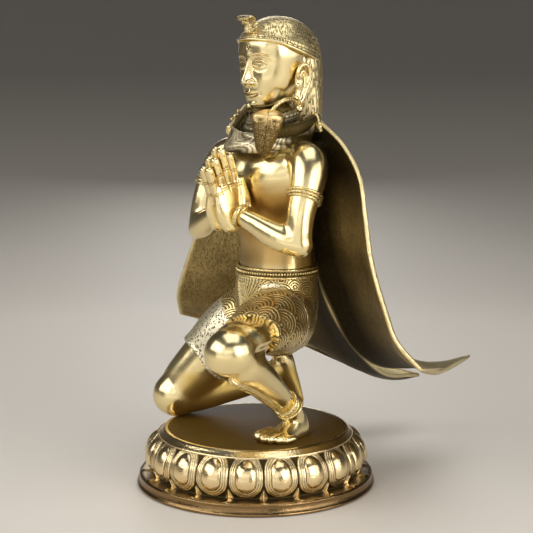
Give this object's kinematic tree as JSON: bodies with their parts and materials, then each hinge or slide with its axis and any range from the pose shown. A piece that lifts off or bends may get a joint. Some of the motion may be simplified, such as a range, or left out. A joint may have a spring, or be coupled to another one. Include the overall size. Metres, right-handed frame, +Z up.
{
  "type": "garuda figure",
  "caption": "Kneeling winged attendant in cast brass with joined palms, serpent collar and cobra cap, on a round lotus plinth.",
  "frame": {"origin": "centre of the plinth's flat underside, where it rests", "axes": "+Z up; the figure faces -Y, so its left side is +X and the wing tips trail towards +Y"},
  "size_m": [0.4464, 0.4815, 0.56],
  "materials": {
    "polished_brass": "polished, engraved cloth and serpents with darker lines",
    "wing_brass": "dull, rough inside, engraved feathers outside",
    "plinth_brass": "satin with dark recesses and a dark brown top"
  },
  "bodies": {
    "root": {"lotus_plinth": "plinth_brass", "garuda_figure": "polished_brass", "left_wing": "wing_brass", "right_wing": "wing_brass"}
  },
  "joints": []
}
